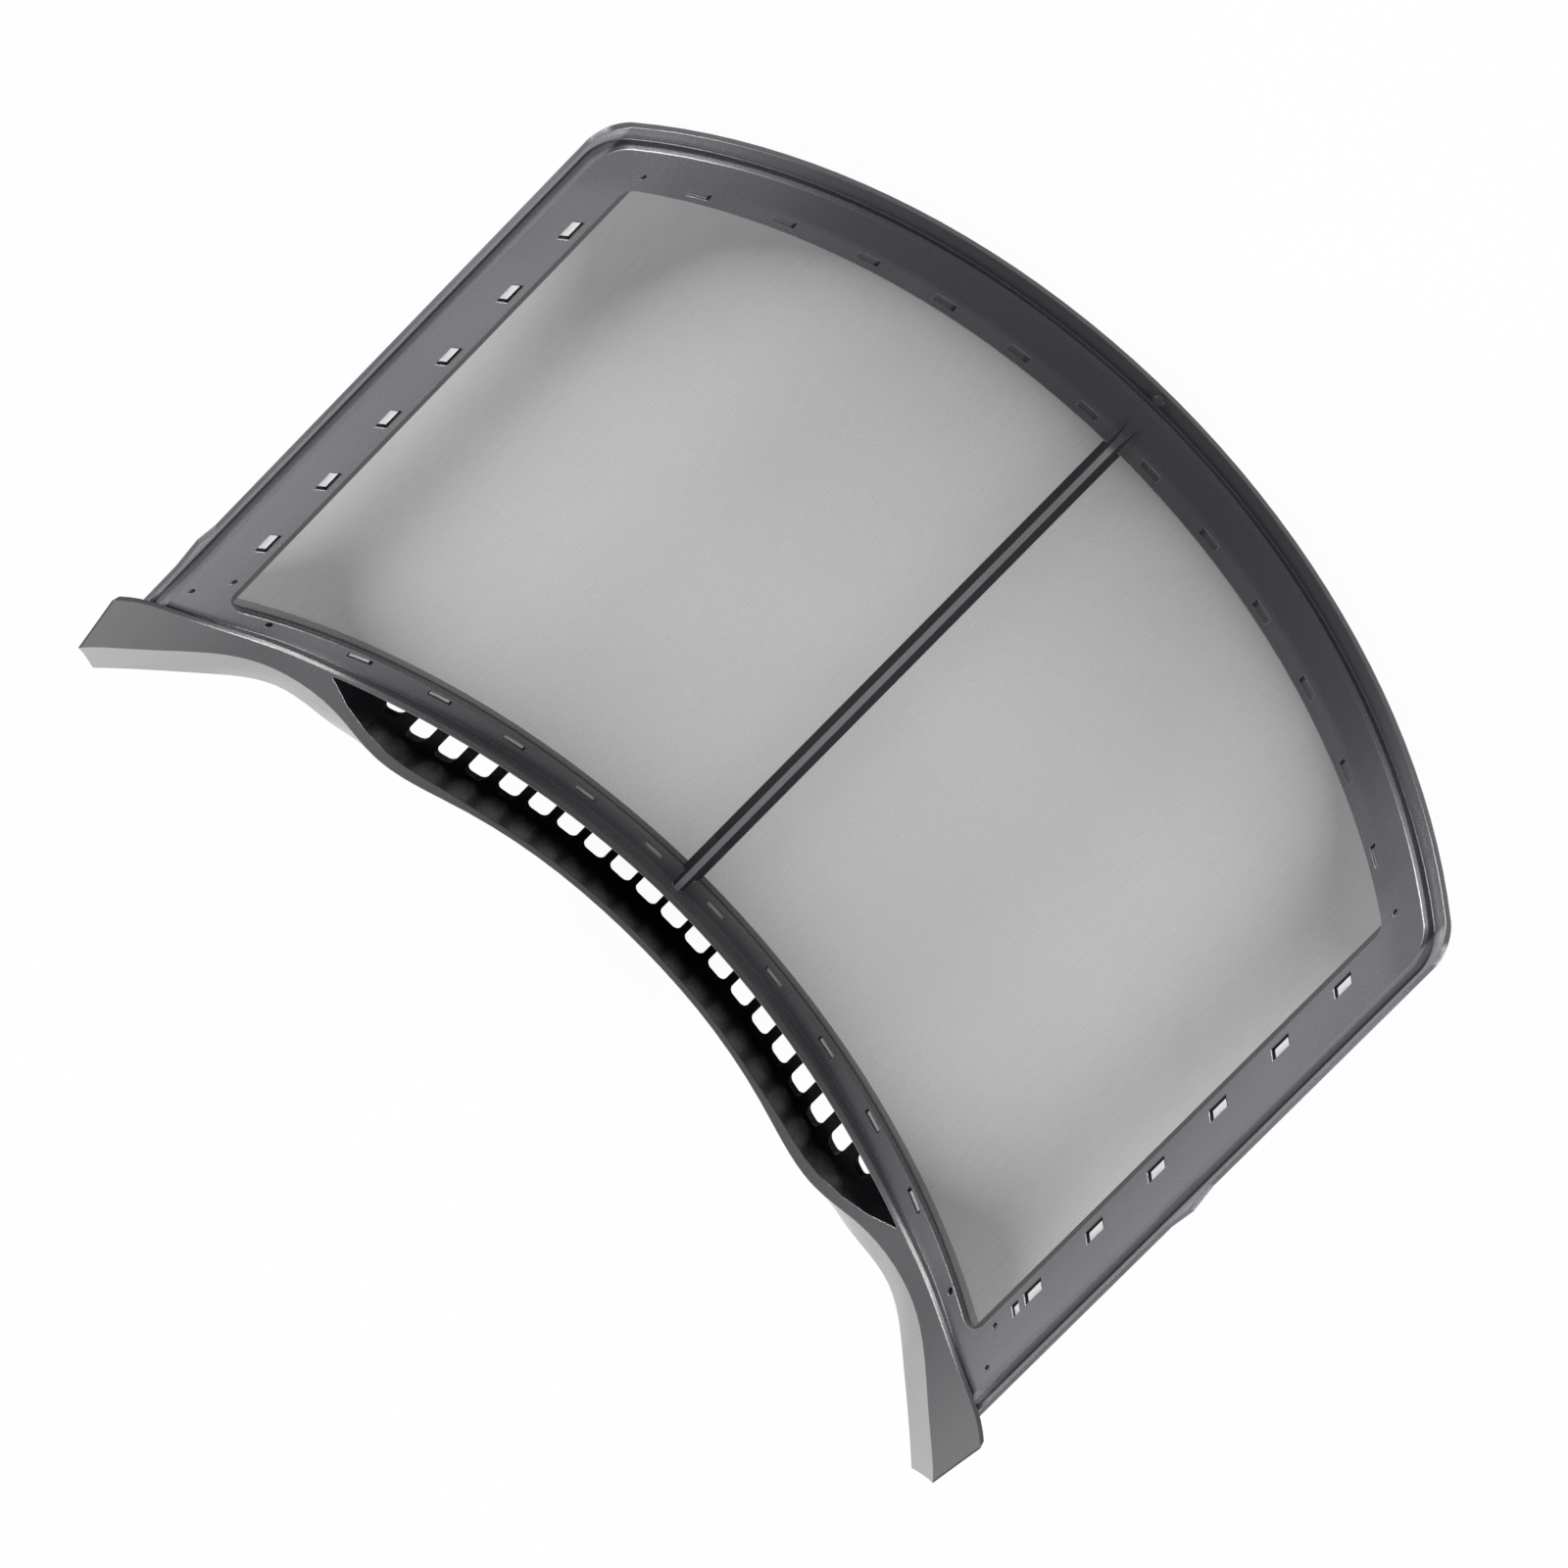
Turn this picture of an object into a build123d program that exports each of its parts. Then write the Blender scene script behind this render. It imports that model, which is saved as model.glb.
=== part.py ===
from build123d import *
import math
import os

# Tumble dryer lint filter: a moulded frame bent to a trough, one woven screen held in it.
# X runs across the trough, Y along it from the grip to the far end, Z up out of the hollow side.

# trough
face_radius = 174.0         # hollow face of the border, measured from the trough axis
border_depth = 4.0          # border, hollow face to back
border_half = 53.3          # degrees from the middle to the crease on each long edge
far_border = 17.3           # border beyond the window at the far end
border_round = 0.8          # bevel of the crease
ledge_drop = 2.5            # the outer ledge lies this much behind the border face
side_ledge = 2.1            # ledge beyond the crease on the long edges
far_ledge = 5.0             # and at the far end
frame_start = -8.0          # the frame runs into the grip to here
ledge_corner = 8.5
border_corner = 8.0

# window and screen
window_half = 47.8          # degrees either side of the middle
window_length = 198.5
window_corner = 3.5
near_corner = 8.0
screen_depth = 1.6          # screen below the border face
screen_thickness = 0.4
screen_side_hold = 2.5      # degrees of screen held in each side border
screen_far_hold = 7.0
screen_near = ((0.0, -3.0), (29.6, -1.2), (40.1, 1.6), (46.4, 4.2), (52.0, 8.0))   # degrees, y of near edge

# centre rib
rib_foot = 5.4
rib_crest = 1.6
rib_proud = 1.2
rib_far_gap = 5.0           # crest dies out this far before the far crease
rib_run_out = 9.0

# small slots beside the window: through at the sides and the near end, shallow at the far end
side_slot_first = 35.8
side_slot_pitch = 28.65
side_slot_count = 6
side_slot_length = 7.8
side_slot_width = 3.4
side_slot_angle = 49.1
extra_slot_y = 27.6
extra_slot_length = 3.0
end_slots = (3.5, 10.8, 18.1, 25.5, 33.4)     # degrees, at both ends of the window
end_slot_length = 6.0
near_slot_width = 1.6
near_slot_inset = 1.9
far_slot_width = 2.2
far_slot_inset = 3.4
far_slot_depth = 0.5
far_slot_last = 41.4

# pin marks: degrees from the middle, place along the trough, depth
pin_radius = 1.0
pin_marks = ((51.9, 12.6, 0.5), (48.9, 18.2, 0.5), (47.4, 204.5, 0.5), (42.5, 3.5, 1.2))
gate_radius = 1.4
gate_proud = 0.8

# keying bumps on the two long edges: start, peak, end, height
left_bump = (17.5, 29.6, 36.3, 1.2)
right_bump = (91.5, 101.5, 111.0, 1.6)

# grip
grip_drop = 6.0             # underside of the grip below the border face
pocket_floor = 2.0
rim_thickness = 1.3
grip_edge = 1.5             # blunt front edge under the bevel
back_chamfer = 0.8          # along the top back edge
skin = 2.0                  # wall of the hollow wings
hollow_from = 35.0          # degrees, where the hollow under a wing begins
hollow_to = 56.0
end_angle = 60.1            # each end is cut off here, at the top face
end_y = 11.8
end_normal = (0.970, -0.054, -0.236)

# grip sections: degrees, back edge y, rise over the border, top front edge y, foot y, undercut of the back
grip_sections = (
    (0.0, -5.0, 4.6, -23.9, -26.5, 0.0),
    (10.0, -5.0, 4.6, -24.2, -26.8, 0.0),
    (18.0, -5.0, 4.4, -25.9, -28.5, 0.0),
    (23.0, -5.0, 3.9, -27.2, -30.6, 0.0),
    (26.0, -4.95, 3.5, -26.0, -31.0, 0.0),
    (28.5, -4.8, 3.2, -22.9, -30.4, 0.0),
    (31.0, -4.6, 2.9, -18.8, -28.4, 0.0),
    (33.5, -4.1, 2.6, -15.2, -25.6, 0.0),
    (36.5, -3.1, 2.4, -11.9, -23.3, 0.0),
    (39.5, -1.9, 2.2, -9.7, -23.8, 0.0),
    (43.0, -0.6, 2.0, -8.9, -26.4, 0.6),
    (46.5, 1.1, 1.9, -9.9, -28.4, 3.0),
    (50.0, 3.5, 1.8, -11.4, -29.7, 7.0),
    (54.0, 7.5, 1.8, -11.6, -30.6, 10.0),
    (58.0, 11.1, 1.8, -11.0, -31.3, 11.0),
    (62.0, 14.4, 1.8, -10.1, -31.7, 11.0),
)

# finger pocket: degrees, y of its front side, middle to tip
pocket_front = ((0.0, -21.7), (8.9, -22.0), (16.0, -23.2), (21.6, -23.7), (23.7, -23.4), (25.6, -22.2),
                (28.4, -18.4), (31.2, -13.1), (34.0, -5.9))
pocket_back_tip = -5.6
pocket_back_turn = 27.4
vent_count = 20
vent_pitch = 8.62
vent_width = 6.7
vent_taper = 0.022          # vents narrow from the outside towards the pocket tips
vent_back = -9.0
vent_front_gap = 0.7
vent_corner = 1.8

# near edge of the window: degrees, y, middle to side
near_edge = ((0.0, 0.0), (13.3, 0.3), (22.6, 1.2), (29.6, 2.2), (35.1, 3.3), (40.1, 4.5), (45.2, 5.9),
             (52.0, 8.0))

back_radius = face_radius + border_depth
screen_radius = face_radius + screen_depth
ledge_radius = face_radius + ledge_drop
grip_back_radius = face_radius + grip_drop
ledge_half = border_half + math.degrees(side_ledge / ledge_radius)
border_length = window_length + far_border
far_y = border_length + far_ledge
below = -2 * border_depth - grip_drop       # plan cuts start under everything
tall = face_radius                          # and reach over everything
along = Vector(0, 1, 0)
up = Vector(0, 0, 1)


def at(radius, degrees, y):
    a = math.radians(degrees)
    return (radius * math.sin(a), y, face_radius - radius * math.cos(a))


def drum(radius, y0, y1):
    return Solid.make_cylinder(radius, y1 - y0, Plane(origin=(0, y0, face_radius), z_dir=(0, 1, 0)))


def wedge(low, high, y0, y1):
    reach = 2 * face_radius
    corners = [(0, y0, face_radius), at(reach, low, y0), at(reach, high, y0)]
    return extrude(make_face(Polyline(*corners, close=True)), amount=y1 - y0, dir=along)


def sector(inner, outer, low, high, y0, y1):
    shell = drum(outer, y0, y1) - drum(inner, y0, y1)
    return shell & wedge(low, high, y0, y1)


def round_corners(piece, y, depth, radius):
    corners = [e for e in piece.edges() if abs(e.center().Y - y) < 0.001 and abs(e.length - depth) < 0.001]
    return fillet(corners, radius)


def across(degrees):
    return face_radius * math.sin(math.radians(degrees))


def height(radius, x):
    return face_radius - math.sqrt(radius ** 2 - x ** 2)


def in_plan(points):
    # both halves of a symmetric plan curve
    half = [(across(a), y, below) for a, y in points]
    return [(-x, y, z) for x, y, z in reversed(half[1:])] + half


def value_at(points, x):
    for (a, y0), (b, y1) in zip(points, points[1:]):
        if across(a) <= x <= across(b):
            return y0 + (y1 - y0) * (x - across(a)) / (across(b) - across(a))


def plan_prism(curve, line, far):
    # everything on the far side of a plan curve
    end = [curve[-1], (curve[-1][0], far, below), (curve[0][0], far, below), curve[0]]
    return extrude(make_face([line(*curve), Polyline(*end)]), amount=tall, dir=up)


def grip_section(degrees, back, rise, front, foot, undercut, inset):
    top = face_radius - rise + inset
    bottom = grip_back_radius + inset
    run = inset * math.hypot(1, (foot - front) / (bottom - top))
    heel = inset * math.hypot(1, undercut / (bottom - top))
    blunt = grip_back_radius - grip_edge
    outline = [
        at(top + back_chamfer, degrees, back - heel),
        at(top, degrees, back - back_chamfer - heel),
        at(top, degrees, front + run),
        at(blunt, degrees, foot + run),
        at(bottom, degrees, foot + run),
        at(bottom, degrees, back - undercut - heel),
    ]
    return make_face(Polyline(*outline, close=True))


def section_values(degrees):
    rows = grip_sections
    for a, b in zip(rows, rows[1:]):
        if a[0] <= degrees <= b[0]:
            t = (degrees - a[0]) / (b[0] - a[0])
            return [u + (v - u) * t for u, v in zip(a, b)]


# frame: border, ledge, window
border = sector(face_radius, back_radius, -border_half, border_half, frame_start, border_length)
border = round_corners(border, border_length, border_depth, border_corner)
rounds = border.faces().filter_by(GeomType.CYLINDER)
hollow_face = [f for f in rounds if abs(f.radius - face_radius) < 0.001]
crease = [e for e in hollow_face[0].edges() if e.center().Y > frame_start + 1]
border = chamfer(crease, border_round)
ledge = sector(ledge_radius, back_radius, -ledge_half, ledge_half, frame_start, far_y)
ledge = round_corners(ledge, far_y, border_depth - ledge_drop, ledge_corner)
spare = border_depth
window = sector(face_radius - spare, back_radius + spare, -window_half, window_half, frame_start,
                window_length)
window = round_corners(window, window_length, border_depth + 2 * spare, window_corner)
window = window & plan_prism(in_plan(near_edge), Spline, far_y)
side_x = across(window_half)
near_y = value_at(near_edge, side_x)
ends = [e for e in window.edges() if abs(e.center().Y - near_y) < 1]
sharp = [e for e in ends if abs(abs(e.center().X) - side_x) < spare]
window = fillet(sharp, near_corner)
frame = border + ledge - window

# screen, moulded into the frame all round
hold_half = window_half + screen_side_hold
screen = sector(screen_radius, screen_radius + screen_thickness, -hold_half, hold_half, frame_start,
                window_length + screen_far_hold)
screen = screen & plan_prism(in_plan(screen_near), Polyline, far_y)
frame = frame - screen

# centre rib over and under the screen, drafted sides, dying out on the far border
crest_end = border_length - rib_far_gap
rib_profile = [
    (-rib_foot / 2, frame_start, -screen_depth - screen_thickness),
    (rib_foot / 2, frame_start, -screen_depth - screen_thickness),
    (rib_foot / 2, frame_start, -screen_depth + screen_thickness),
    (rib_crest / 2, frame_start, rib_proud),
    (-rib_crest / 2, frame_start, rib_proud),
    (-rib_foot / 2, frame_start, -screen_depth + screen_thickness),
]
rib = extrude(make_face(Polyline(*rib_profile, close=True)), amount=crest_end - frame_start, dir=along)
rib = rib & drum(screen_radius, frame_start, crest_end)
run_out = [
    (-rib_foot, crest_end - rib_run_out, rib_proud),
    (-rib_foot, crest_end, 0),
    (-rib_foot, crest_end + 1, rib_proud + 1),
    (-rib_foot, crest_end - rib_run_out, rib_proud + 1),
]
rib = rib - extrude(make_face(Polyline(*run_out, close=True)), amount=2 * rib_foot, dir=(1, 0, 0))
half_foot = math.degrees(rib_foot / 2 / face_radius)
screen_back = screen_radius + screen_thickness
rib_back = sector(screen_back, back_radius, -half_foot, half_foot, frame_start, crest_end)
frame = frame + rib + rib_back

# grip: one drafted band, its sections set square to the trough
rows = [(-r[0],) + r[1:] for r in reversed(grip_sections[1:])] + list(grip_sections)
grip = loft([grip_section(*r, 0.0) for r in rows])
end_radius = face_radius - grip_sections[-1][2]
for side in (-1, 1):
    cut = Plane(origin=at(end_radius, side * end_angle, end_y),
                z_dir=(side * end_normal[0], end_normal[1], end_normal[2]))
    grip = grip - extrude(cut * Rectangle(face_radius, face_radius), amount=face_radius)
body = frame + grip

# hollow under each wing
between = [r[0] for r in grip_sections if hollow_from < r[0] < hollow_to]
hollow_angles = [hollow_from] + between + [hollow_to]
for side in (-1, 1):
    faces = []
    for angle in hollow_angles:
        values = section_values(angle)
        faces.append(grip_section(side * angle, *values[1:], skin))
    body = body - loft(faces)

# finger pocket with its vented floor
pocket_rear = grip_sections[0][1] - rim_thickness
pocket_tip = pocket_front[-1][0]
rear = ((0.0, pocket_rear), (pocket_back_turn, pocket_rear), (pocket_tip, pocket_back_tip))
ring = in_plan(pocket_front) + list(reversed(in_plan(rear)))
pocket = extrude(make_face(Polyline(*ring, close=True)), amount=tall, dir=up)
front_y = min(row[4] for row in grip_sections)
pocket = pocket & drum(grip_back_radius - pocket_floor, front_y, 0)
body = body - pocket
for i in range(vent_count):
    place = (i - (vent_count - 1) / 2) * vent_pitch
    inner = abs(place) - vent_width / 2
    outer = abs(place) * (1 - vent_taper) + vent_width / 2
    x = math.copysign((inner + outer) / 2, place)
    y0 = max(value_at(pocket_front, side) for side in (inner, outer)) + vent_front_gap
    spot = Pos(x, (vent_back + y0) / 2, height(grip_back_radius, x))
    vent = spot * RectangleRounded(outer - inner, vent_back - y0, vent_corner)
    body = body - extrude(vent, amount=2 * pocket_floor, both=True)

# slots beside the window
half_slot = math.degrees(side_slot_width / 2 / face_radius)
slot_rows = [(side_slot_first + i * side_slot_pitch, side_slot_length) for i in range(side_slot_count)]
for side in (-1, 1):
    row = slot_rows + ([(extra_slot_y, extra_slot_length)] if side > 0 else [])
    for y, length in row:
        low = side * side_slot_angle - half_slot
        high = side * side_slot_angle + half_slot
        body = body - sector(face_radius - 1, back_radius + 1, low, high, y - length / 2, y + length / 2)
slot_depth = 4 * border_depth
for x in [side * across(a) for side in (-1, 1) for a in end_slots]:
    y = value_at(near_edge, abs(x)) - near_slot_inset
    spot = Pos(x, y, height(back_radius, x))
    body = body - spot * Box(end_slot_length, near_slot_width, slot_depth)
for x in [side * across(a) for side in (-1, 1) for a in end_slots + (far_slot_last,)]:
    a = math.degrees(math.asin(x / face_radius))
    half_mark = math.degrees(end_slot_length / 2 / face_radius)
    y = window_length + far_slot_inset
    mark = sector(face_radius - 1, face_radius + far_slot_depth, a - half_mark, a + half_mark,
                  y - far_slot_width / 2, y + far_slot_width / 2)
    body = body - mark

# pin marks, gate, keying bumps
for angle, y, depth in pin_marks:
    for side in (-1, 1):
        a = side * angle
        outward = Vector(*at(1, a, 0)) - Vector(0, 0, face_radius)
        spot = Plane(origin=at(face_radius - 1, a, y), z_dir=outward)
        body = body - Solid.make_cylinder(pin_radius, depth + 1, spot)
gate = Plane(origin=at(ledge_radius + 0.5, 0, border_length + far_ledge / 2), z_dir=(0, 0, 1))
body = body + Solid.make_cylinder(gate_radius, gate_proud + 0.5, gate)
for side, (y0, peak, y1, height) in ((-1, left_bump), (1, right_bump)):
    a = math.radians(side * ledge_half)
    tangent = Vector(math.cos(a), 0, math.sin(a)) * side
    outward = Vector(math.sin(a), 0, -math.cos(a))
    lower = [Vector(*at(ledge_radius, side * ledge_half, y)) + tangent * t
             for y, t in ((y0, -1.0), (y0, 0.0), (peak, height), (y1, 0.0), (y1, -1.0))]
    bump = extrude(make_face(Polyline(*lower, close=True)), amount=border_depth - ledge_drop, dir=outward)
    body = body + bump

# one shared origin: middle of the footprint, underside at zero
box = Compound([body, screen]).bounding_box()
home = Pos(-box.center().X, -box.center().Y, -box.min.Z)
body = home * body
screen = home * screen

os.makedirs("parts", exist_ok=True)
export_step(body, "parts/frame.step")
export_step(screen, "parts/mesh.step")
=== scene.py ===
import bpy
import math
from mathutils import Matrix, Vector


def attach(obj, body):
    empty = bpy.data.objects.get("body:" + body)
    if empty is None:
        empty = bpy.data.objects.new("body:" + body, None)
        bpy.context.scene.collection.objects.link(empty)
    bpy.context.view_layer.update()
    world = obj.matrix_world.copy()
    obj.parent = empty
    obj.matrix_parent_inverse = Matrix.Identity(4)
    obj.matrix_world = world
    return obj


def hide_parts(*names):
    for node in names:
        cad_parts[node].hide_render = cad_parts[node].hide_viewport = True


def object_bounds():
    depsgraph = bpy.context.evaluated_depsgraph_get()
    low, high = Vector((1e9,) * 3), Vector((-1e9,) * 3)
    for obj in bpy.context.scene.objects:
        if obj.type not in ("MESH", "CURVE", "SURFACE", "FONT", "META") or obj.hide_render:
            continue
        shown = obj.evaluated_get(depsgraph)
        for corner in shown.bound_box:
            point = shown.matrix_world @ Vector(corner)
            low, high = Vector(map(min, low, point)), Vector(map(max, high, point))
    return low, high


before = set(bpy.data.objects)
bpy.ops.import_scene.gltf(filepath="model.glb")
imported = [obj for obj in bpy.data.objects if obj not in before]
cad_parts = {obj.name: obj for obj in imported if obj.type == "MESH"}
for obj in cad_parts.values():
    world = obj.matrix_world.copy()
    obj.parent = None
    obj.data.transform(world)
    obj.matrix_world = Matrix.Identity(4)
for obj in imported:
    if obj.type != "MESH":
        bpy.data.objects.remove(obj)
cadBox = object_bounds()
print("filter loaded:", sorted(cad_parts))

scene = bpy.context.scene
scene.view_settings.view_transform = "Standard"

mm = 0.001
farEnd = 220.8                         # far end of the ledge from the window's near edge, millimetres
zeroY = cadBox[1][1] / mm - farEnd     # middle of the window's near edge
fullTurn = 2 * math.pi


# one wrapped socket, so that shader maths reads as plain expressions
class Wire:
    def __init__(self, tree, socket):
        self.tree = tree
        self.socket = socket

    def math(self, operation, other=None, swap=False):
        values = [self] if other is None else ([other, self] if swap else [self, other])
        return self.tree.node("ShaderNodeMath", {"operation": operation}, dict(enumerate(values)))

    def __add__(self, other): return self.math("ADD", other)
    def __radd__(self, other): return self.math("ADD", other)
    def __sub__(self, other): return self.math("SUBTRACT", other)
    def __rsub__(self, other): return self.math("SUBTRACT", other, swap=True)
    def __mul__(self, other): return self.math("MULTIPLY", other)
    def __rmul__(self, other): return self.math("MULTIPLY", other)
    def __truediv__(self, other): return self.math("DIVIDE", other)
    def __rtruediv__(self, other): return self.math("DIVIDE", other, swap=True)

    def cosine(self): return self.math("COSINE")
    def absolute(self): return self.math("ABSOLUTE")
    def exponent(self): return self.math("EXPONENT")
    def squareRoot(self): return self.math("SQRT")
    def most(self, other): return self.math("MAXIMUM", other)
    def least(self, other): return self.math("MINIMUM", other)

    # a wave from 0 to 1, and a bell curve round 0
    def wave(self): return self.cosine() * 0.5 + 0.5
    def bell(self): return (self * self * -1).exponent()

    # another output of the node that this wire comes from
    def sibling(self, name): return Wire(self.tree, self.socket.node.outputs[name])


# a material under construction
class Finish:
    def __init__(self, name):
        self.material = bpy.data.materials.new(name)
        self.material.use_nodes = True
        self.nodes = self.material.node_tree.nodes
        self.links = self.material.node_tree.links
        self.nodes.clear()

    # any node: its type, its settings, then values or links for its sockets; gives back one output
    def node(self, kind, settings=None, sockets=None, output=0):
        made = self.nodes.new(kind)
        for key, value in (settings or {}).items():
            setattr(made, key, value)
        for key, value in (sockets or {}).items():
            if isinstance(value, Wire):
                self.links.new(value.socket, made.inputs[key])
            else:
                made.inputs[key].default_value = value
        return Wire(self, made.outputs[output]) if len(made.outputs) else None

    def place(self):
        return self.node("ShaderNodeTexCoord", output="Object")

    def axes(self, vector):
        first = self.node("ShaderNodeSeparateXYZ", {}, {0: vector})
        return first, first.sibling("Y"), first.sibling("Z")

    def noise(self, vector, scale, detail=2, roughness=0.5):
        return self.node("ShaderNodeTexNoise", {}, {"Vector": vector, "Scale": scale, "Detail": detail,
                                                    "Roughness": roughness})

    def stretched(self, vector, amounts):
        return self.node("ShaderNodeVectorMath", {"operation": "MULTIPLY"}, {0: vector, 1: amounts})

    def ramp(self, value, low, high):
        return self.node("ShaderNodeMapRange", {"interpolation_type": "SMOOTHSTEP"},
                         {"Value": value, "From Min": low, "From Max": high})

    # rises over a span in millimetres, or over a span of y from the window's near edge
    def past(self, value, span):
        return self.ramp(value, span[0] * mm, span[1] * mm)

    def beyond(self, along, span):
        return self.ramp(along, (zeroY + span[0]) * mm, (zeroY + span[1]) * mm)

    def blend(self, factor, first, second):
        return self.node("ShaderNodeMix", {"data_type": "RGBA"}, {0: factor, 6: first, 7: second}, output=2)

    def bump(self, height, strength, distance, sockets=None):
        given = {"Height": height, "Strength": strength, "Distance": distance}
        given.update(sockets or {})
        return self.node("ShaderNodeBump", {}, given)

    def principled(self, sockets):
        return self.node("ShaderNodeBsdfPrincipled", {}, sockets)

    def mixed(self, factor, first, second):
        return self.node("ShaderNodeMixShader", {}, {0: factor, 1: first, 2: second})

    def done(self, shader):
        self.node("ShaderNodeOutputMaterial", {}, {"Surface": shader})
        return self.material


# moulded plastic of the frame and grip
plastic = {
    "dark": (0.050, 0.051, 0.058, 1),
    "pale": (0.060, 0.061, 0.069, 1),
    # painted light on the grip and on the strip behind it, painted shade on the wing ends
    "grip": (0.10, 0.10, 0.106, 1),
    "wingEnd": (0.022, 0.022, 0.025, 1),
    # painted shade in crevices, the pocket and the rib's flanks
    "crevice": (0.006, 0.006, 0.007, 1),
    # painted highlights on rounded edges and on the rib's crest
    "edge": (0.11, 0.112, 0.12, 1),
    "crest": (0.25, 0.255, 0.27, 1),
    "strip": (0.105, 0.106, 0.115, 1),
    # painted shade on the far border, and painted light on the long borders towards it
    "far": (0.033, 0.034, 0.039, 1),
    "sideFar": (0.074, 0.075, 0.083, 1),
    # painted light on the step wall and the ledge, which lie in shade
    "step": (0.36, 0.365, 0.38, 1),
    "ledge": (0.13, 0.132, 0.14, 1),
    "cloudScale": 22,
    "toneRange": (0.35, 0.65),
    "flowStretch": (60, 7, 60),
    "scuffStretch": (900, 140, 500),
    "scuffRange": (0.62, 0.75),
    "grain": 0.55 * mm,             # spark-eroded texture
    "grainDepth": 0.03 * mm,
    "grainStrength": 0.3,
    "edgeRound": 0.5 * mm,
    "edgeTurn": (0.04, 0.2),
    "creviceReach": 14 * mm,
    "creviceRange": (0.82, 0.99),
    "gripShare": 0.9,
    "rough": 0.27,
    "roughBy": {"cloud": 0.10, "scuff": 0.03, "grain": 0.08},
    "ior": 1.66,
    "polish": 0.7,                  # clear gloss on the grip's bevel
    "polishRough": 0.15,
    # where the tones change, in millimetres: along the trough, from its middle, or from its axis
    "gripBackAlong": (-6.4, -5.6),
    "wingBackAlong": (15, 16),
    "gripTopRadius": (172.6, 173.4),
    "stripAcross": (105, 125),
    "wingAcross": (90, 140),
    "farAlong": (203, 206),
    "farAcross": (80, 122),
    "sideFarAlong": (100, 185),
    "sideFarEnd": (192, 206),
    "sideFarAcross": (120, 130),
    "stepAcross": (138, 138.8),
    "stepFootRadius": (176.55, 176.7),
    "ledgeRadius": 176.5,
    "ledgeBand": (0.1, 0.2),
    "ribAcross": (3.2, 3.6),
    "crestAcross": (0.9, 1.1),
    "crestHeight": 7.0,
    "crestBand": (0.4, 0.6),
    "crestEnd": (197, 201),
    # how far a face leans, as shares of its normal
    "stepLean": ((0.04, 0.06), (-0.06, -0.04)),   # its wall, and with it the bevel over it
    "bevelLean": ((0.2, 0.3), (0.15, 0.3)),       # to the front, and up
    "crestLean": (0.8, 0.95),
    "flankLean": (0.25, 0.55),
    "flankDull": 0.75,
}


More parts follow.
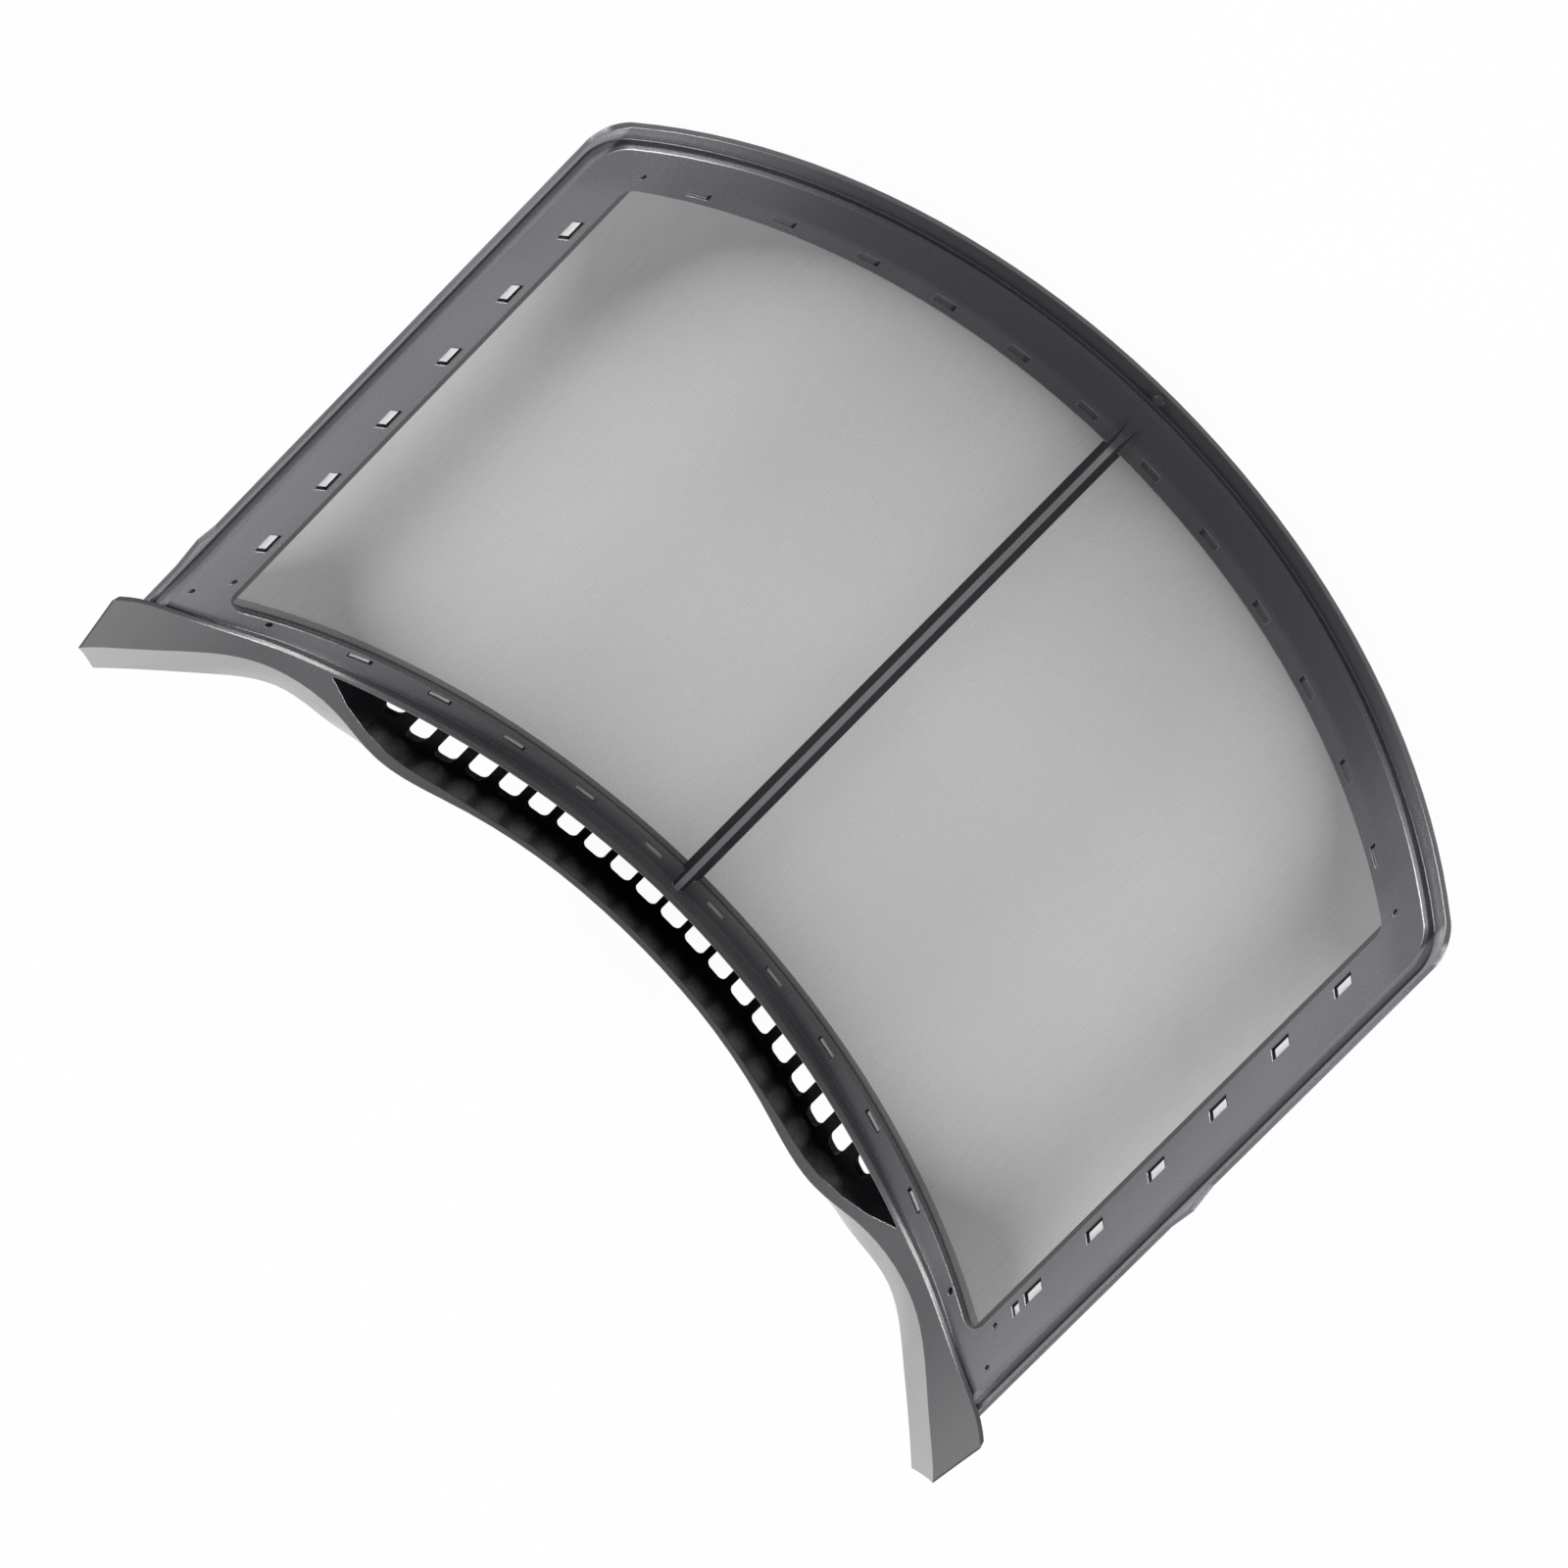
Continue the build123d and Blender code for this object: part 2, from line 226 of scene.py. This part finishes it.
def mouldedPlastic():
    f = Finish("mouldedPlastic")
    p = plastic
    where = f.place()
    across, along, height = f.axes(where)
    facing = f.node("ShaderNodeNewGeometry", output="Normal")
    sideways, frontward, upward = f.axes(facing)
    side = across.absolute()
    fromAxis = height - cloth["axisHeight"]
    radius = (across * across + fromAxis * fromAxis).squareRoot()
    cloud = f.noise(where, p["cloudScale"], 3)
    grain = f.noise(where, 1 / p["grain"], 2, 0.6)
    flow = f.noise(f.stretched(where, p["flowStretch"]), 1, 3)
    scuff = f.noise(f.stretched(where, p["scuffStretch"]), 1, 2)
    colour = f.blend(f.ramp(cloud * 0.6 + flow * 0.4, *p["toneRange"]), p["dark"], p["pale"])
    # the grip stands over the border face; painted light makes the grip paler, painted shade darkens its wings
    # outwards, and painted light makes the strip behind it paler
    inGrip = 1 - f.beyond(along, p["gripBackAlong"])
    nearGrip = 1 - f.beyond(along, p["wingBackAlong"])
    onGrip = inGrip.most((1 - f.past(radius, p["gripTopRadius"])) * nearGrip)
    strip = nearGrip * (1 - f.past(side, p["stripAcross"]))
    colour = f.blend(strip * (1 - onGrip), colour, p["strip"])
    wing = f.blend(f.past(side, p["wingAcross"]), p["grip"], p["wingEnd"])
    colour = f.blend(onGrip * p["gripShare"], colour, wing)
    # painted shade darkens the far border, and painted light makes the long borders paler towards it
    atFar = f.beyond(along, p["farAlong"]) * (1 - f.past(side, p["farAcross"]))
    bySideFar = f.beyond(along, p["sideFarAlong"]) * f.past(side, p["sideFarAcross"])
    bySideFar = bySideFar * (1 - f.beyond(along, p["sideFarEnd"]))
    colour = f.blend(bySideFar * (1 - atFar), colour, p["sideFar"])
    colour = f.blend(atFar, colour, p["far"])
    # painted light makes the step down to the side ledges, and the ledges, paler where they lie in shade
    bySide = f.past(side, p["stepAcross"]) * (1 - onGrip)
    outward = sideways * across
    wall, withBevel = [f.ramp(outward, *lean) * 0.5 for lean in p["stepLean"]]
    step = (wall + withBevel) * (1 - f.past(radius, p["stepFootRadius"])) * bySide
    ledge = (1 - f.past((radius - p["ledgeRadius"] * mm).absolute(), p["ledgeBand"])) * bySide
    colour = f.blend(ledge, colour, p["ledge"])
    colour = f.blend(step, colour, p["step"])
    # painted highlights: paler edges where the rounded normal leaves the face, and the pale crest of the rib
    rounded = f.node("ShaderNodeBevel", {"samples": 6}, {"Radius": p["edgeRound"]})
    turn = f.node("ShaderNodeVectorMath", {"operation": "DOT_PRODUCT"}, {0: rounded, 1: facing}, output="Value")
    colour = f.blend(f.ramp(1 - turn, *p["edgeTurn"]) * (1 - onGrip * p["gripShare"]), colour, p["edge"])
    level = 1 - f.past((height - p["crestHeight"] * mm).absolute(), p["crestBand"])
    crest = (1 - f.past(side, p["crestAcross"])) * level * (1 - f.beyond(along, p["crestEnd"]))
    colour = f.blend(crest * f.ramp(upward, *p["crestLean"]), colour, p["crest"])
    # painted shade: the crevices in the grip, the finger pocket and the drafted flanks of the rib stay dull and
    # dark
    clear = f.node("ShaderNodeAmbientOcclusion", {"samples": 8}, {"Distance": p["creviceReach"]}, output="AO")
    onRib = 1 - f.past(side, p["ribAcross"])
    keep = 1 - (1 - f.ramp(clear, *p["creviceRange"])) * inGrip
    keep = keep * (1 - f.ramp(sideways.absolute(), *p["flankLean"]) * onRib * p["flankDull"])
    # fine grain all over, and a polished bevel
    by = p["roughBy"]
    rough = p["rough"] + (cloud - 0.5) * by["cloud"]
    rough = rough + f.ramp(scuff, *p["scuffRange"]) * by["scuff"] + (grain - 0.5) * by["grain"]
    toFront, toTop = p["bevelLean"]
    bevel = f.ramp(frontward * -1, *toFront) * f.ramp(upward, *toTop) * inGrip
    normal = f.bump(grain + flow * 0.15, p["grainStrength"], p["grainDepth"], {"Normal": rounded})
    sheen = f.principled({"Base Color": colour, "Roughness": rough, "Normal": normal, "IOR": p["ior"],
                          "Coat Weight": bevel * p["polish"], "Coat Roughness": p["polishRough"]})
    # a dull dark diffuse, painted shade
    dull = f.node("ShaderNodeBsdfDiffuse", {}, {"Color": p["crevice"]})
    return f.done(f.mixed(keep, dull, sheen))


# woven screen cloth, stretched in the trough
cloth = {
    "axisHeight": 180 * mm,   # trough axis over the floor
    "radius": 175.8 * mm,
    "half": math.radians(50.25),
    "nearEdge": ((0, -2.9), (29.6, -1.1), (40.1, 1.7), (46.4, 4.3), (52, 8.1)),   # degrees, millimetres
    "farEdge": 205.4,
    "columns": 144,
    "rows": 72,
    "pitch": 0.42 * mm,
    "weaveDepth": 0.08 * mm,
    "weaveStrength": 0.5,
    "weaveRange": (0.12, 0.62),
    "thread": (0.22, 0.22, 0.22, 1),
    "threadShaded": (0.012, 0.012, 0.012, 1),
    "rough": 0.62,
    "cover": 0.41,            # share of the light that the cloth stops, in the gaps
    "coverBy": {"weave": 0.20, "shade": 0.26, "slub": 0.04},
    "colourBy": {"shade": 0.62, "band": 0.5, "slub": 0.2},
    "cloudScale": 14,
    "cloudStrength": 0.25,
    "slubStretch": (2600, 90, 1),
    "windowFar": (zeroY + 198.5) * mm,
    "windowNear": zeroY * mm,
    "nearRise": 5.9 * mm,     # how far the near edge of the window comes up by the sides
    "riseAt": 137.3 * mm,
    "band": (143.0, 143.4),   # painted shadow of each long border, a dark band on the cloth under it
    "bandStrength": 1.5,
    # painted shade on the cloth towards the borders and the rib, in millimetres and shares
    "dips": ((-127, 14, 0.40), (130, 19, 0.28)),   # painted shade: middle, spread and strength beside each long border
    "sideAcross": (78, 125),
    "sideStrength": 0.28,
    "ribFade": 14,
    "ribStrength": 0.14,
    "farFade": (39, 8),       # at the middle, and added in the corners
    "farStrength": (0.72, 0.2, 0.3),     # at the middle, added in the corners and at the left
    "lipFade": 7,
    "lipStrength": 0.4,
    "nearFade": 22,
    "nearStrength": (0.62, 0.72, 0.12),  # at the middle, added in the corners and at the right
    "cornerAcross": (60, 140),
    "leftAcross": (40, 130),
    "rightAcross": (60, 140),
    "shadeLimit": 1.15,
}


def wovenScreen():
    f = Finish("wovenScreen")
    c = cloth
    flat = f.node("ShaderNodeUVMap", {"uv_map": "flat"})
    across, along, _ = f.axes(flat)
    turn = fullTurn / c["pitch"]
    weave = (across * turn).wave().most((along * turn).wave())
    over = (across * (turn / 2)).cosine() * (along * (turn / 2)).cosine()   # plain weave, over and under
    cloud = f.noise(f.place(), c["cloudScale"], 3)
    slub = f.noise(f.stretched(flat, c["slubStretch"]), 1, 2) - 0.5
    # painted shade towards the borders and the rib, with a random cloudy tone
    side = across.absolute()
    bow = across / c["riseAt"]
    toFar = (along * -1 + c["windowFar"]).most(0)
    toNear = (along - c["windowNear"] - bow * bow * c["nearRise"]).most(0)
    corner = f.past(side, c["cornerAcross"])
    middle, corners, left = c["farStrength"]
    fade = corner * (-c["farFade"][1] * mm) - c["farFade"][0] * mm
    atLeft = f.past(across * -1, c["leftAcross"])
    amount = corner * corners + atLeft * left + middle
    clouding = (toFar / fade).exponent() * amount
    clouding = clouding + (toFar / (-c["lipFade"] * mm)).exponent() * c["lipStrength"]
    middle, corners, right = c["nearStrength"]
    atRight = f.past(across, c["rightAcross"])
    amount = corner * corners + atRight * right + middle
    clouding = clouding + (toNear / (-c["nearFade"] * mm)).exponent() * amount
    for at, spread, strength in c["dips"]:
        clouding = clouding + ((across - at * mm) / (spread * mm)).bell() * strength
    clouding = clouding + f.past(side, c["sideAcross"]) * c["sideStrength"]
    clouding = clouding + (side / (-c["ribFade"] * mm)).exponent() * c["ribStrength"]
    clouding = clouding + (cloud - 0.5) * c["cloudStrength"]
    # painted shadow of each long border on the cloth
    band = f.past(side, c["band"])
    shade = clouding.least(c["shadeLimit"]) + band * c["bandStrength"]
    by = c["colourBy"]
    tone = shade * by["shade"] + band * by["band"] + slub * by["slub"]
    # painted shade darkens the thread colour and raises the cloth's cover
    colour = f.blend(tone, c["thread"], c["threadShaded"])
    by = c["coverBy"]
    alpha = f.ramp(weave, *c["weaveRange"]) * by["weave"] + c["cover"] + shade * by["shade"] + slub * by["slub"]
    normal = f.bump(weave + over * 0.35, c["weaveStrength"], c["weaveDepth"])
    return f.done(f.principled({"Base Color": colour, "Roughness": c["rough"], "Alpha": alpha.least(1),
                                "Normal": normal}))


# little pads of cloth that show in the slots beside the window, painted pale for the light that shines through
# the cloth there
pads = {
    "pale": (0.44, 0.44, 0.44, 1),
    "dull": (0.30, 0.30, 0.31, 1),
    "rough": 0.6,
    "speckScale": 300,
    "crown": 0.25,
    "cells": 6,
    "sideAngle": 49.1,
    "sideFirst": 35.8,
    "sidePitch": 28.65,
    "sideCount": 6,
    "sideSize": (2.5, 6.0),
    "extraAt": 27.6,
    "extraSize": (2.5, 2.2),
    "sideSink": 0.5,
    "nearAngles": (3.5, 10.8, 18.1, 25.5, 33.4),
    "nearRow": (-1.9, 5.9, 137.3),    # middle of the row, rise by the sides, where it rises to that
    "nearSize": (5.7, 1.4),
    "nearSink": 0.3,
    "faceRadius": 174.0,
}


def padCloth():
    f = Finish("padCloth")
    flat = f.node("ShaderNodeUVMap", {"uv_map": "flat"})
    across, along, _ = f.axes(flat)
    turn = fullTurn / cloth["pitch"]
    weave = (across * turn).wave().most((along * turn).wave())
    speck = f.noise(f.place(), pads["speckScale"], 2)
    # painted light: the pads are pale for the light shining through the cloth in the slots
    colour = f.blend(weave * 0.6 + speck * 0.4, pads["dull"], pads["pale"])
    normal = f.bump(weave, cloth["weaveStrength"], cloth["weaveDepth"])
    return f.done(f.principled({"Base Color": colour, "Roughness": pads["rough"], "Normal": normal}))


def nearEdgeAt(degrees):
    points = cloth["nearEdge"]
    for (a0, y0), (a1, y1) in zip(points, points[1:]):
        if degrees <= a1:
            return y0 + (y1 - y0) * (degrees - a0) / (a1 - a0)
    return points[-1][1]


# grids on the trough: rows of points between two angles, each with its own near and far y
class Patchwork:
    def __init__(self):
        self.verts = []
        self.uvs = []
        self.faces = []
        self.finish = []

    def patch(self, radiusAt, low, high, columns, rows, nearAt, farAt, finish):
        start = len(self.verts)
        for i in range(columns + 1):
            angle = low + (high - low) * i / columns
            near, far = nearAt(angle), farAt(angle)
            for j in range(rows + 1):
                y = (zeroY + near + (far - near) * j / rows) * mm
                radius = radiusAt(i / columns, j / rows)
                self.verts.append((radius * math.sin(angle), y, cloth["axisHeight"] - radius * math.cos(angle)))
                self.uvs.append((radius * angle, y))
        for i in range(columns):
            for j in range(rows):
                a = start + i * (rows + 1) + j
                self.faces.append((a, a + rows + 1, a + rows + 2, a + 1))
                self.finish.append(finish)

    # a small domed pad, sunk under the border face
    def pad(self, degrees, y, size, sink):
        half = size[0] / 2 / pads["faceRadius"]
        middle = math.radians(degrees)
        low = (pads["faceRadius"] + sink) * mm
        crown = lambda s, t: low - pads["crown"] * mm * (1 - (2 * s - 1) ** 2) * (1 - (2 * t - 1) ** 2)
        self.patch(crown, middle - half, middle + half, pads["cells"], pads["cells"],
                   lambda a: y - size[1] / 2, lambda a: y + size[1] / 2, 1)

    def piece(self, name, materials):
        mesh = bpy.data.meshes.new(name)
        mesh.from_pydata(self.verts, [], self.faces)
        layer = mesh.uv_layers.new(name="flat")
        for loop in mesh.loops:
            layer.data[loop.index].uv = self.uvs[loop.vertex_index]
        for material in materials:
            mesh.materials.append(material)
        mesh.polygons.foreach_set("material_index", self.finish)
        mesh.polygons.foreach_set("use_smooth", [True] * len(mesh.polygons))
        mesh.update()
        made = bpy.data.objects.new(name, mesh)
        scene.collection.objects.link(made)
        return made


def screenSheet():
    work = Patchwork()
    work.patch(lambda s, t: cloth["radius"], -cloth["half"], cloth["half"], cloth["columns"], cloth["rows"],
               lambda a: nearEdgeAt(abs(math.degrees(a))), lambda a: cloth["farEdge"], 0)
    for side in (-1, 1):
        for i in range(pads["sideCount"]):
            y = pads["sideFirst"] + i * pads["sidePitch"]
            work.pad(side * pads["sideAngle"], y, pads["sideSize"], pads["sideSink"])
        middle, rise, riseAt = pads["nearRow"]
        for degrees in pads["nearAngles"]:
            arc = math.radians(degrees) * pads["faceRadius"]
            work.pad(side * degrees, middle + rise * (arc / riseAt) ** 2, pads["nearSize"], pads["nearSink"])
    work.pad(pads["sideAngle"], pads["extraAt"], pads["extraSize"], pads["sideSink"])
    return work.piece("screenCloth", [wovenScreen(), padCloth()])


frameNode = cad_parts["frame"]
frameNode.data.materials.clear()
frameNode.data.materials.append(mouldedPlastic())
print("plastic set on the frame")

screen = screenSheet()
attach(screen, "root")
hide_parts("mesh")
flatWidth = 2 * cloth["half"] * cloth["radius"]
flatLength = (cloth["farEdge"] - cloth["nearEdge"][0][1]) * mm
print("screen cloth", round(flatWidth, 4), "by", round(flatLength, 4))


# pale floor, white to the camera and in reflections, with a soft shadow left on it
floorLook = {
    "size": 8.0,
    "drop": 0.2 * mm,         # under the part, so that they don't meet
    "shade": (0.82, 0.82, 0.82, 1),
    "glow": (1, 1, 1, 1),
    "white": 0.95,
}


def paleFloor():
    f = Finish("paleFloor")
    seen = f.node("ShaderNodeLightPath", output="Is Camera Ray")
    mirrored = seen.sibling("Is Glossy Ray")
    through = seen.sibling("Is Transmission Ray")
    factor = seen.most(mirrored).most(through) * floorLook["white"]
    plain = f.node("ShaderNodeBsdfDiffuse", {}, {"Color": floorLook["shade"]})
    glow = f.node("ShaderNodeEmission", {}, {"Color": floorLook["glow"], "Strength": 1.0})
    return f.done(f.mixed(factor, plain, glow))


half = floorLook["size"] / 2
corners = [(-half, -half, 0), (half, -half, 0), (half, half, 0), (-half, half, 0)]
floorMesh = bpy.data.meshes.new("floor")
floorMesh.from_pydata(corners, [], [(0, 1, 2, 3)])
floor = bpy.data.objects.new("floor", floorMesh)
scene.collection.objects.link(floor)
floor.data.materials.append(paleFloor())
floor.location.z = cadBox[0][2] - floorLook["drop"]

# soft boxes: place, width, height, watts
softBoxes = {
    "leftBox": ((-1.25, 0.1, 0.27), 1.4, 0.3, 38),
    "rightBox": ((1.25, 0.1, 0.27), 1.4, 0.3, 38),
    "gripBox": ((0.0, -1.5, 0.40), 1.6, 0.4, 6),
}
studio = {"aim": (0, 0, 0.03), "colour": (1, 1, 1, 1), "strength": 0.26}
for name, (place, width, height, watts) in softBoxes.items():
    lamp = bpy.data.lights.new(name, "AREA")
    lamp.shape = "RECTANGLE"
    lamp.size = width
    lamp.size_y = height
    lamp.energy = watts
    box = bpy.data.objects.new(name, lamp)
    box.location = place
    box.rotation_euler = (Vector(studio["aim"]) - Vector(place)).to_track_quat("-Z", "Y").to_euler()
    scene.collection.objects.link(box)

world = bpy.data.worlds.new("studio")
scene.world = world
world.use_nodes = True
world.node_tree.nodes["Background"].inputs["Color"].default_value = studio["colour"]
world.node_tree.nodes["Background"].inputs["Strength"].default_value = studio["strength"]
print("floor and lights set")

# camera: far end towards the lens, the grip turned to the lower left
view = {
    "tilt": math.radians(48.0),
    "swing": math.radians(-0.6),    # to one side of the trough's middle
    "roll": math.radians(46.1),     # grip-to-far-end line over the level
    "distance": 10.4,
    "frameWidth": 1600 / 4171,      # metres across the picture at the target
    "sensor": 36,
    "target": (0, (zeroY + 147.7) * mm, 36 * mm),
    "slide": (-0.31 * mm, -56.9 * mm),   # picture middle from the target: across, and up the trough
}
swing = Matrix.Rotation(-view["swing"], 3, "Z")
away = swing @ Vector((0, math.cos(view["tilt"]), math.sin(view["tilt"])))
farUp = swing @ Vector((0, math.sin(view["tilt"]), -math.cos(view["tilt"])))
across = swing @ Vector((1, 0, 0))
right = farUp * math.cos(view["roll"]) + across * math.sin(view["roll"])
upward = farUp * math.sin(view["roll"]) - across * math.cos(view["roll"])
camData = bpy.data.cameras.new("camera")
camData.sensor_width = view["sensor"]
camData.lens = view["sensor"] * view["distance"] / view["frameWidth"]
camera = bpy.data.objects.new("camera", camData)
camera.matrix_world = Matrix((
    (right.x, upward.x, away.x, 0),
    (right.y, upward.y, away.y, 0),
    (right.z, upward.z, away.z, 0),
    (0, 0, 0, 1),
))
middle = Vector(view["target"]) + across * view["slide"][0] + farUp * view["slide"][1]
camera.location = middle + away * view["distance"]
scene.collection.objects.link(camera)
scene.camera = camera
print("camera set")
